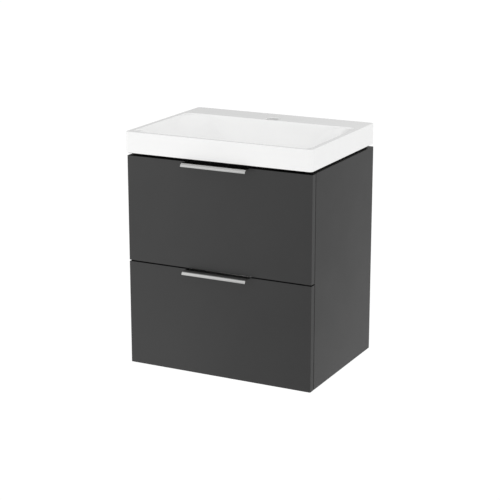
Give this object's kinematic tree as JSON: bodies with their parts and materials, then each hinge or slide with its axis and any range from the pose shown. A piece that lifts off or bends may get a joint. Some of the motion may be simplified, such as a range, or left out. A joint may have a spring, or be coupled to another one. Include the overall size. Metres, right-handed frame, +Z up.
{
  "type": "bathroom vanity cabinet",
  "caption": "Wall-hung bathroom vanity cabinet with deep drawers on telescopic runners, metal edge-pull handles and a rectangular inset basin with a tap hole.",
  "frame": {"origin": "on the wall plane, at the centre of the hanging rail's back face, 487 mm above the cabinet's underside", "axes": "+X to the right as one faces the unit, -Y out from the wall towards the user, +Z up"},
  "size_m": [0.503, 0.3965, 0.5975],
  "materials": {
    "front_board": "satin anthracite grey lacquer on board",
    "carcass_board": "satin anthracite grey laminate on board",
    "basin_glaze": "gloss white glaze",
    "handle_metal": "satin brushed",
    "drawer_board": "white melamine",
    "zinc_steel": "zinc plated",
    "screw_steel": "bright zinc",
    "damper_plastic": "moulded grey"
  },
  "bodies": {
    "cabinet": {"adjusting_screw_left": "screw_steel", "adjusting_screw_right": "screw_steel", "basin": "basin_glaze", "bottom_panel": "carcass_board", "bracket_hook_left": "zinc_steel", "bracket_hook_right": "zinc_steel", "bracket_housing_left": "zinc_steel", "bracket_housing_right": "zinc_steel", "damper_lower_left": "damper_plastic", "damper_lower_right": "damper_plastic", "damper_upper_left": "damper_plastic", "damper_upper_right": "damper_plastic", "front_rail": "carcass_board", "hanging_rail": "carcass_board", "lower_back_rail": "carcass_board", "runner_cabinet_lower_left": "zinc_steel", "runner_cabinet_lower_right": "zinc_steel", "runner_cabinet_upper_left": "zinc_steel", "runner_cabinet_upper_right": "zinc_steel", "side_panel_left": "carcass_board", "side_panel_right": "carcass_board", "wall_plate_left": "zinc_steel", "wall_plate_right": "zinc_steel"},
    "upper_drawer": {"runner_drawer_upper_left": "zinc_steel", "runner_drawer_upper_right": "zinc_steel", "upper_box_back_left": "drawer_board", "upper_box_back_right": "drawer_board", "upper_box_base": "drawer_board", "upper_box_front": "drawer_board", "upper_box_side_left": "drawer_board", "upper_box_side_right": "drawer_board", "upper_drawer_front": "front_board", "upper_front_screw_1": "screw_steel", "upper_front_screw_2": "screw_steel", "upper_front_screw_3": "screw_steel", "upper_front_screw_4": "screw_steel", "upper_handle": "handle_metal", "upper_handle_screw_1": "screw_steel", "upper_handle_screw_2": "screw_steel", "upper_siphon_surround": "drawer_board"},
    "lower_drawer": {"lower_box_back": "drawer_board", "lower_box_base": "drawer_board", "lower_box_front": "drawer_board", "lower_box_side_left": "drawer_board", "lower_box_side_right": "drawer_board", "lower_drawer_front": "front_board", "lower_front_screw_1": "screw_steel", "lower_front_screw_2": "screw_steel", "lower_front_screw_3": "screw_steel", "lower_front_screw_4": "screw_steel", "lower_handle": "handle_metal", "lower_handle_screw_1": "screw_steel", "lower_handle_screw_2": "screw_steel", "runner_drawer_lower_left": "zinc_steel", "runner_drawer_lower_right": "zinc_steel"},
    "upper_slides": {"runner_middle_upper_left": "zinc_steel", "runner_middle_upper_right": "zinc_steel"},
    "lower_slides": {"runner_middle_lower_left": "zinc_steel", "runner_middle_lower_right": "zinc_steel"}
  },
  "joints": [
    {"name": "upper_drawer_slide", "type": "slide", "parent": "cabinet", "child": "upper_drawer", "axis": [0, -1, 0], "range_m": [0, 0.29]},
    {"name": "lower_drawer_slide", "type": "slide", "parent": "cabinet", "child": "lower_drawer", "axis": [0, -1, 0], "range_m": [0, 0.29]},
    {"name": "upper_runner_slide", "type": "slide", "parent": "cabinet", "child": "upper_slides", "axis": [0, -1, 0], "range_m": [0, 0.145]},
    {"name": "lower_runner_slide", "type": "slide", "parent": "cabinet", "child": "lower_slides", "axis": [0, -1, 0], "range_m": [0, 0.145]}
  ],
  "couplings": [
    {"joint": "upper_runner_slide", "follows": "upper_drawer_slide", "ratio": 0.5},
    {"joint": "lower_runner_slide", "follows": "lower_drawer_slide", "ratio": 0.5}
  ]
}
